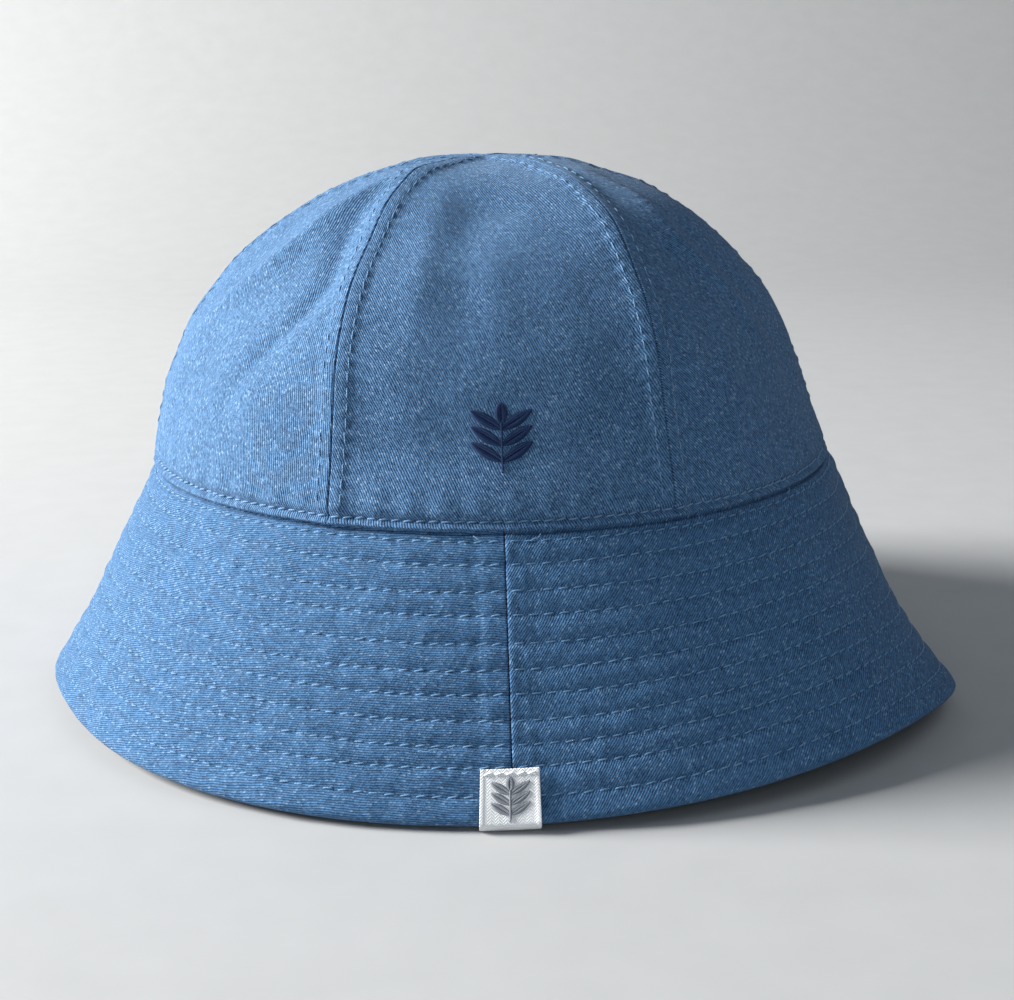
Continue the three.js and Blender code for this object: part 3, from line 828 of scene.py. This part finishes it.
def crown_seam_rows(name, climb):
    """The stitch row along each side of a panel, as strips of three lines of points."""
    _, _, width = panel_span(name, climb)
    keep = SEAM_STITCH_OFFSET / width < 0.40
    for side in (0, 1):
        strip = []
        for offset in (-0.4, 0, 0.4):
            inset = np.minimum((SEAM_STITCH_OFFSET + offset) / width, 0.42)
            angle, out = panel_surface(name, inset if side == 0 else 1 - inset, climb)
            strip.append(ellipse_point(angle, climb, out))
        strip = np.array(strip)[:, keep]
        yield strip[1], grid_normals(strip, strip[1] - np.array([0, 0, SEAM_HEIGHT]))


def crown_seam_stitches():
    climb = np.linspace(3.4, 86.5, 260)
    rows = [row for name in PANELS for row in crown_seam_rows(name, climb)]
    sew("crown_seam_topstitch", rows, denim_thread, "pale_thread", radius=0.17, slant=0.2, proud=0.6)


def ring_rows(surface, angles, offsets=(-0.4, 0, 0.4), outwards=1):
    strip = np.array([surface(angles, offset) for offset in offsets])
    away = strip[1] * np.array([1, 1, 0]) * outwards
    return strip[1], grid_normals(strip, away)


def crown_base_stitches():
    rows = []
    for name in PANELS:
        def surface(across, offset):
            climb = climb_at(BASE_STITCH_RISE + offset) + 0 * across
            angle, out = panel_surface(name, across, climb)
            return ellipse_point(angle, climb, out)

        rows.append(ring_rows(surface, np.linspace(0.004, 0.996, 120)))
    obj = sew("crown_base_stitches", rows, denim_thread, "pale_thread", radius=0.26, pitch=3.1, gap=0.5)
    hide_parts("crown_base_topstitch")
    pierce("crown_base_needle_holes", rows, pitch=3.1, size=0.13)


for panel in PANELS:
    crown_panel(panel)
crown_seam_stitches()
crown_base_stitches()


# ---------------------------------------------------------------- inside the crown
def inner_point(angle, climb, depth):
    """A point on a layer inside the crown, `depth` millimetres below the outside of the cloth."""
    return ellipse_point(angle, climb, crown_shape(angle, climb) - LAYER_ROOM - depth)


def tape(name, angle, climb):
    """A strip of seam tape over a grid of (angle, climb), with the seam's stitches through it."""
    outer = inner_point(angle, climb, TAPE_DEPTH)
    inner = inner_point(angle, climb, TAPE_DEPTH + TAPE_CLOTH)
    obj = shell(name + "_cloth", outer, inner, tape_cotton, "seam_tape", 0.0, [name])
    declare_sheet(outer)
    rows = []
    middle = (angle.shape[1] - 1) // 2
    reach = round(middle * SEAM_STITCH_OFFSET / TAPE_HALF_WIDTH)
    for column in (middle - reach, middle + reach):
        strip = np.stack([inner[:, column - 1], inner[:, column], inner[:, column + 1]])
        rows.append((strip[1], grid_normals(strip, np.array([0, 0, SEAM_HEIGHT]) - strip[1])))
    sew(name + "_stitches", rows, denim_thread, "pale_thread", radius=0.2)


def short_tape(name, foot):
    """It climbs a front or back seam and stops against its neighbour and the long tape."""
    top = np.degrees(np.arccos(10 / SEAM_RADIUS))
    climb = np.linspace(climb_at(1.5), top, 90)
    radius = SEAM_RADIUS * np.cos(np.radians(climb))
    mirror, back = math.copysign(1, foot), abs(foot) > 90
    centre = seam_angle(180 - abs(foot) if back else abs(foot), climb)
    half = np.degrees(np.arcsin(TAPE_HALF_WIDTH / radius))
    low = np.maximum(centre - half, np.degrees(0.3 / radius))
    high = np.minimum(centre + half, np.degrees(np.arccos(np.minimum(1, (TAPE_HALF_WIDTH + 0.3) / radius))))
    across = np.linspace(0, 1, 21)
    turn = low[:, None] + across * (high - low)[:, None]
    angle = mirror * (180 - turn if back else turn)
    tape(name, angle, climb[:, None] + 0 * angle)


def long_tape():
    """It climbs one side seam, crosses the top and goes down the other."""
    side, turn = np.meshgrid(
        np.linspace(-TAPE_HALF_WIDTH, TAPE_HALF_WIDTH, 21),
        np.radians(np.linspace(-89.0, 89.0, 150)),
    )
    x = np.sqrt(SEAM_RADIUS**2 - side**2) * np.sin(turn)
    angle = np.degrees(np.arctan2(x, -side))
    climb = np.degrees(np.arccos(np.minimum(1, np.hypot(x, side) / SEAM_RADIUS)))
    tape("seam_tape_side_to_side", angle, np.maximum(climb, climb_at(1.5)))


def label_room(angle, rise):
    """The band is pressed flatter against the crown where the labels hang over its lower edge."""
    return 0.8 * bell(turned(angle, 180), 14) * (1 - smoothstep(rise, 5, 13))


def band_slack(angle, climb, rise):
    """The inner layer of the band hangs a little loose above its foot."""
    return 0.35 * waves(ellipse_point(angle, climb, 0.0), 38, 21) * smoothstep(rise, 4, 24)


def sweatband():
    """A tape folded along its top edge: both layers hang from the fold, and its ends meet at the back."""
    angles = np.linspace(-179.8, 179.8, 420)
    up = np.linspace(0.6, BAND_RISE - 1.0, 26)
    fold = np.linspace(0, np.pi, 9)
    middle, half = (BAND_DEPTH + BAND_FACE_DEPTH) / 2, (BAND_FACE_DEPTH - BAND_DEPTH) / 2

    def leg_profile(inset):
        turn = fold[1:-1]
        near, far = middle - half + inset, middle + half - inset
        rise = np.concatenate([up, BAND_RISE - 1.0 + (1.0 - inset) * np.sin(turn), up[::-1]])
        depth = np.concatenate([0 * up + near, middle - (half - inset) * np.cos(turn), 0 * up + far])
        return rise, depth

    def place(inset, a):
        rise, depth = leg_profile(inset)
        angle, climb = np.meshgrid(a, climb_at(rise))
        rise, depth = rise[:, None], depth[:, None]
        ease = np.maximum(band_slack(angle, climb, rise) * (depth > middle), 0)
        return inner_point(angle, climb, depth + ease - label_room(angle, rise))

    outer, inner = place(0.0, angles), place(BAND_CLOTH, angles)
    obj = shell("sweatband_cloth", outer, inner, band_cotton, "band_cotton", 90.0, ["sweatband"])
    declare_sheet(outer)
    rows = []
    for rise, end in ((BASE_STITCH_RISE, 169.0), (BAND_RISE - 2.2, 179.8)):
        def surface(a, offset):
            climb = climb_at(rise + offset) + 0 * a
            ease = np.maximum(band_slack(a, climb, rise + offset), 0)
            return inner_point(a, climb, BAND_FACE_DEPTH + ease - label_room(a, rise))

        rows.append(ring_rows(surface, np.linspace(-end, end, 420), outwards=-1))
    sew("sweatband_stitches", rows, navy_thread, "navy_thread", radius=0.2)


def sweatband_core():
    rise = np.linspace(2.6, BAND_RISE - 1.3, 12)
    angle, climb = np.meshgrid(np.linspace(-179.8, 179.8, 240), climb_at(rise))
    room = label_room(angle, rise[:, None])
    outer = inner_point(angle, climb, CORE_DEPTH - room)
    inner = inner_point(angle, climb, CORE_DEPTH + CORE_CLOTH - room)
    obj = shell("sweatband_core", outer, inner, canvas, "canvas", 0.0, ["sweatband_interlining"])
    declare_sheet(outer)


short_tape("seam_tape_front_left", PANELS["front"][0])
short_tape("seam_tape_front_right", PANELS["front"][1])
short_tape("seam_tape_back_left", -PANELS["back_right"][1])
short_tape("seam_tape_back_right", PANELS["back_right"][1])
long_tape()
sweatband()
sweatband_core()


# ---------------------------------------------------------------- brim
BRIM_SIDES = {"left": (-180.0, 0.0), "right": (0.0, 180.0)}
BRIM_MIDDLE = {"left": -90.0, "right": 90.0}
BRIM_GRAIN = {"left": -12, "right": -34}
EDGE_ROUND = 1.5


def brim_angles(side, count):
    low, high = BRIM_SIDES[side]
    return low + (high - low) * (0.0003 + 0.9994 * spaced(count, 0.8))


def seam_distance(angle, slope):
    radius = SEAM_RADIUS + CONE_LEAN * slope
    nearest = np.minimum(np.abs(angle), 180 - np.abs(angle))
    return radius * np.radians(nearest)


def brim_outside(side, angle, slope):
    return brim_relief(angle, slope, seam_distance(angle, slope), 1.0 if side == "right" else 0.0)


def brim_flat(side, angle, slope):
    """Where each point of a brim half lies on the flat cloth: a cone opens out to a bow."""
    radius = SEAM_RADIUS / CONE_LEAN + slope
    turn = np.radians(angle - BRIM_MIDDLE[side]) * CONE_LEAN
    return np.stack([radius * np.sin(turn), -radius * np.cos(turn)], -1)


def brim_cut():
    """The length and width of that bow."""
    outer, inner = SEAM_RADIUS / CONE_LEAN + BRIM_SLANT, SEAM_RADIUS / CONE_LEAN
    half = math.radians(90 * CONE_LEAN)
    return 2 * outer * math.sin(half), outer - inner * math.cos(half)


def brim_top(side):
    """The outer cloth, turned round the edge to the underside."""
    slopes = np.concatenate([
        np.linspace(-0.9, 1.5, 13),
        np.linspace(1.5, BRIM_SLANT - EDGE_ROUND, 132)[1:],
    ])
    bend = np.linspace(0, np.pi, 11)[1:]
    slope = np.concatenate([slopes, slopes[-1] + EDGE_ROUND * np.sin(bend), [slopes[-1] - 0.8]])
    depth = np.concatenate([0 * slopes, EDGE_ROUND * (1 - np.cos(bend)), [BRIM_DEPTH]])
    inner_radius = EDGE_ROUND - CLOTH
    inner_slope = np.concatenate([slopes, slopes[-1] + inner_radius * np.sin(bend), [slopes[-1] - 0.8]])
    inner_depth = np.concatenate(
        [0 * slopes + CLOTH, CLOTH + inner_radius * (1 - np.cos(bend)), [BRIM_DEPTH - CLOTH]])
    angle, slope_grid = np.meshgrid(brim_angles(side, 520), slope)
    depth_grid = depth[:, None] + 0 * angle
    facing = np.cos(np.pi * np.clip(depth_grid / BRIM_DEPTH, 0, 1))
    relief = brim_outside(side, angle, np.minimum(slope_grid, BRIM_SLANT)) * np.clip(facing, 0, 1)
    outer = brim_point(angle, slope_grid, depth_grid - relief)
    inner = brim_point(angle, inner_slope[:, None] + 0 * angle, inner_depth[:, None] - 0.5 * relief)
    node = "brim_top_" + side
    run = np.concatenate([slopes, slopes[-1] + EDGE_ROUND * bend, [slopes[-1] + EDGE_ROUND * np.pi + 0.8]])
    flat = brim_flat(side, angle, run[:, None])
    obj = shell(node + "_cloth", outer, inner, brim_denim_shaded_copy, "denim", BRIM_GRAIN[side], [node], flat=flat)
    declare_sheet(outer, brim_cut())


def brim_layer(name, side, top, thickness, quilted, material, slot):
    """A layer under the outer cloth, whose upper face lies at the depth `top`."""
    slope = np.linspace(0.4, BRIM_SLANT - 1.7, 100 if quilted else 30)
    angle, slope_grid = np.meshgrid(brim_angles(side, 360 if quilted else 120), slope)
    relief = quilting(angle, slope_grid) * (0.8 if quilted else 0.0)
    seam = -0.5 * bell(seam_distance(angle, slope_grid), 0.6) if quilted else 0.0
    outer = brim_point(angle, slope_grid, top + 0 * angle)
    inner = brim_point(angle, slope_grid, top + thickness + relief + seam)
    node = name + "_" + side
    flat = brim_flat(side, angle, slope_grid)
    obj = shell(node + "_cloth", outer, inner, material, slot, BRIM_GRAIN[side], [node], flat=flat)
    declare_sheet(inner, brim_cut())


def brim_stitches(side):
    rows, under_rows = [], []
    low, high = BRIM_SIDES[side]
    angles = np.linspace(low + 0.4, high - 0.4, 900)
    for row in range(len(BRIM_ROWS)):

        def above(a, offset):
            slope = row_slope(row, a) + offset
            return brim_point(a, slope, -brim_outside(side, a, slope))

        def below(a, offset):
            slope = row_slope(row, a) + offset
            return brim_point(a, slope, BRIM_DEPTH + 0.8 * quilting(a, slope))

        rows.append(ring_rows(above, angles))
        if row > 0:
            under_rows.append(ring_rows(below, angles, outwards=-1))
    sew("brim_topstitch_" + side, rows, pale_thread, "pale_thread")
    pierce("brim_needle_holes_" + side, rows, size=0.17)
    sew("brim_under_stitch_" + side, under_rows, pale_thread, "pale_thread")


for brim_side in BRIM_SIDES:
    brim_top(brim_side)
    brim_layer("brim_interlining", brim_side, BRIM_CORE_DEPTH, BRIM_CORE_CLOTH, False, canvas, "canvas")
    brim_layer("brim_under", brim_side, BRIM_UNDER_DEPTH, CLOTH, True, under_denim, "under_denim")
    brim_stitches(brim_side)


# ---------------------------------------------------------------- leaf sprigs
def leaf_threads(root, length, half_width, lean, spacing, radius):
    """Satin stitches from a leaf's vein to its two edges, as 2-D thread lines with their radii."""
    sine, cosine = math.sin(math.radians(lean)), math.cos(math.radians(lean))
    t = np.linspace(0, 1, 5)
    threads = []
    for start in np.arange(0.02, 0.86, spacing / length):
        reach = start + 0.14
        edge = half_width * math.sin(math.pi * min(1, reach)) ** 0.8
        for side in (-1, 1):
            x = side * edge * t
            y = length * (start + (reach - start) * t)
            line = np.stack([x * cosine + y * sine, root - x * sine + y * cosine], -1)
            threads.append((line, radius))
    return threads


def stem_threads(low, high, radius):
    """Overlapping slanted stitches that make a rope-like stem."""
    t = np.linspace(0, 1, 5)[:, None]
    threads = []
    for y in np.arange(low, high - 5 * radius, 3.2 * radius):
        ends = np.array([[-0.8 * radius, y], [0.8 * radius, y + 6 * radius]])
        threads.append((ends[0] + t * (ends[1] - ends[0]), radius * 1.1))
    return threads


def sprig(half_height, radius):
    """Three pairs of leaves and a top leaf on a straight stem."""
    h = half_height
    threads = leaf_threads(0.35 * h, 0.65 * h, 0.19 * h, 0, 2 * radius, radius)
    for root in (-0.7 * h, -0.25 * h, 0.2 * h):
        for lean in (-58, 58):
            threads += leaf_threads(root, 1.04 * h, 0.17 * h, lean, 2 * radius, radius)
    return threads + stem_threads(-h, 0.45 * h, radius * 1.15)


def work_sprig(name, threads, surface, material, slot):
    """Lays 2-D threads on a surface that maps (x, y, lift) to points."""
    lines, radii, ups = [], [], []
    for line, radius in threads:
        t = np.linspace(-1, 1, len(line))
        lift = radius * (1.3 - 1.9 * t**4)
        points = surface(line[:, 0], line[:, 1], lift)
        lines.append(points)
        ups.append(surface(line[:, 0], line[:, 1], lift + 1.0) - points)
        radii.append(np.full(len(line), radius))
    return tubes(name, np.array(lines), np.array(radii), np.array(ups), material, slot)


SPRIG_RISE = 23.1


def front_surface(x, y, lift):
    """A point on the front panel, from millimetres sideways and up from the middle of the embroidery."""
    climb = climb_at(SPRIG_RISE) + np.degrees(y / CROWN_RISE)
    angle = np.degrees(x / (SEAM_RADIUS * np.cos(np.radians(climb))))
    low, high = seam_angle(PANELS["front"][0], climb), seam_angle(PANELS["front"][1], climb)
    _, out = panel_surface("front", (angle - low) / (high - low), climb)
    return ellipse_point(angle, climb, out + lift)


def backing():
    """A round of stabiliser paper behind the embroidery."""
    x, y = np.meshgrid(np.linspace(-1, 1, 25), np.linspace(-1, 1, 25))
    across = BACKING_RADIUS * x * np.sqrt(1 - y * y / 2)
    up = BACKING_RADIUS * y * np.sqrt(1 - x * x / 2)
    angle, climb = np.degrees(across / SEAM_RADIUS), climb_at(SPRIG_RISE) + np.degrees(up / CROWN_RISE)
    outer = inner_point(angle, climb, BACKING_DEPTH)
    inner = inner_point(angle, climb, BACKING_DEPTH + BACKING_CLOTH)
    obj = shell("backing_paper_round", outer, inner, paper, "backing_paper", 0.0, ["embroidery_backing"])
    declare_sheet(outer)


embroidery = work_sprig("front_sprig", sprig(9.1, 0.17), front_surface, navy_thread, "navy_thread")
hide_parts("front_embroidery")
backing()


# ---------------------------------------------------------------- the woven label on the brim
LABEL_FACE = -0.85             # depth of the label's underside on the outside of the brim
LABEL_SHIFT = -0.7             # sideways from the brim's seam
LABEL_TILT = -1.0              # degrees
LABEL_BACK = 3.8               # depth of the label's underside on the inside of the brim


def label_angle(x, slope):
    """The label was sewn on a little crooked."""
    sideways = x + LABEL_SHIFT + (slope - 62) * math.tan(math.radians(LABEL_TILT))
    return np.degrees(sideways / LABEL_RADIUS)


def label_profile(offset):
    """Slopes and depths from the label's top, round the brim's edge and up the underside."""
    end = BRIM_SLANT - 0.4
    down = np.linspace(LABEL_TOP_SLOPE, end, 44)
    turn = np.linspace(-np.pi / 2, np.pi / 2, 17)[1:-1]
    middle, half = (LABEL_BACK + LABEL_FACE) / 2, (LABEL_BACK - LABEL_FACE) / 2
    slope = np.concatenate([down, end + (1.1 + offset) * np.cos(turn), down[::-1]])
    depth = np.concatenate([
        0 * down + LABEL_FACE - offset,
        middle + (half + offset) * np.sin(turn),
        0 * down + LABEL_BACK + offset,
    ])
    return slope, depth


def label_surface(x, y, lift):
    """A point on the label's face, from millimetres sideways and up from its middle."""
    slope = (LABEL_TOP_SLOPE + BRIM_SLANT + 1.0) / 2 - y
    return brim_point(label_angle(x, slope), slope, LABEL_FACE - LABEL_CLOTH - lift)


def brim_label():
    x = np.linspace(-LABEL_HALF_WIDTH, LABEL_HALF_WIDTH, 61)
    grids = []
    for offset in (LABEL_CLOTH, 0.0):
        slope, depth = label_profile(offset)
        x_grid, slope_grid = np.meshgrid(x, slope)
        outwards = np.abs(x_grid) / LABEL_HALF_WIDTH
        hem = 0.12 * smoothstep(LABEL_HALF_WIDTH * (1 - outwards), 1.1, 0.8) * (offset > 0)
        curl = 0.25 * outwards**2 * smoothstep(slope_grid, LABEL_TOP_SLOPE + 2, BRIM_SLANT)
        facing = np.sign(1.5 - depth)[:, None]
        depth_grid = depth[:, None] - facing * (hem + curl)
        points = brim_point(label_angle(x_grid, slope_grid), slope_grid, depth_grid)
        lowest = LABEL_CLOTH - offset + 0.1
        points[..., 2] = np.maximum(points[..., 2], lowest)
        grids.append(points)
    obj = shell("brim_label_cloth", grids[0], grids[1], woven_label, "woven_label", 0.0, ["brim_label"])
    declare_sheet(grids[0])
    half = LABEL_HALF_WIDTH - 0.5
    rows = []
    for inside in (False, True):
        def surface(x, offset):
            slope = LABEL_TOP_SLOPE + 1.2 + offset
            depth = LABEL_BACK + LABEL_CLOTH if inside else LABEL_FACE - LABEL_CLOTH
            return brim_point(label_angle(x, slope), slope, depth)

        rows.append(ring_rows(surface, np.linspace(-half, half, 40), outwards=-1 if inside else 1))
    sew(
        "brim_label_stitches", rows, white_thread, "woven_label",
        radius=0.24, pitch=2.6, gap=0.5, slant=0.35)
    work_sprig("brim_label_sprig", sprig(5.2, 0.17), label_surface, grey_thread, "grey_thread")


brim_label()


# ---------------------------------------------------------------- labels inside
def hanging_label(name, low, high, curl, seed):
    """A ribbon label that hangs from its top edge, with a slight bend of its own."""
    x, z = np.meshgrid(np.linspace(low[0], high[0], 41), np.linspace(high[2], low[2], 61))
    drop = (high[2] - z) / (high[2] - low[2])
    place = np.stack([x, 0 * x, z], -1)
    bend = -curl * drop**2 + 0.35 * waves(place, 26, seed) * smoothstep(drop, 0, 0.4)
    front, back = (np.stack([x, y + bend, z], -1) for y in (low[1], high[1]))
    obj = shell(name + "_ribbon", front, back, satin_ribbon, "satin_label", 0.0, [name], "care_label")
    declare_sheet(front)


def label_stitches():
    x = np.linspace(SIZE_LOW[0] + 0.6, SIZE_HIGH[0] - 0.6, 30)
    z = SIZE_HIGH[2] - 1.4
    points = np.stack([x, 0 * x + SIZE_LOW[1], 0 * x + z], -1)
    towards_head = np.tile([0.0, -1.0, 0.0], (len(x), 1))
    sew("care_label_stitches", [(points, towards_head)], white_thread, "satin_label", "care_label",
        radius=0.18, pitch=2.4, gap=0.5, slant=0.1)


hanging_label("care_label", CARE_LOW, CARE_HIGH, 1.6, 31)
hanging_label("size_label", SIZE_LOW, SIZE_HIGH, 0.5, 32)
label_stitches()


# ---------------------------------------------------------------- cut thread ends
def thread_ends():
    """A few ends of thread left where rows of stitching start and stop.

    Each starts at (angle, slope) on the brim and runs so far sideways, down and up from the cloth.
    """
    ends = [
        (3.6, 2.3, 2.6, -1.2, 0.5),
        (-3.0, 2.0, -2.4, -0.9, 0.4),
        (50.0, 1.2, 2.0, -1.2, 0.7),
        (-4.3, 56.4, -2.4, 0.5, 0.6),
        (-8.0, 51.2, -4.8, 1.2, 0.3),
    ]
    lines, radii, ups = [], [], []
    for number, (angle, slope, sideways, down, lift) in enumerate(ends):
        t = np.linspace(0, 1, 12)
        radius = SEAM_RADIUS + CONE_LEAN * slope
        a = angle + np.degrees(sideways * t / radius)
        s = slope + down * (t + 0.35 * np.sin(2.4 * np.pi * t + number) * t)
        clear = 0.95 + lift * np.sin(np.pi * t) ** 2
        lines.append(brim_point(a, s, -clear))
        ups.append(brim_point(a, s, -clear - 1.0) - lines[-1])
        radii.append(np.full(len(t), 0.13))
    tubes("cut_thread_ends", np.array(lines), np.array(radii), np.array(ups), pale_thread, "pale_thread")


thread_ends()
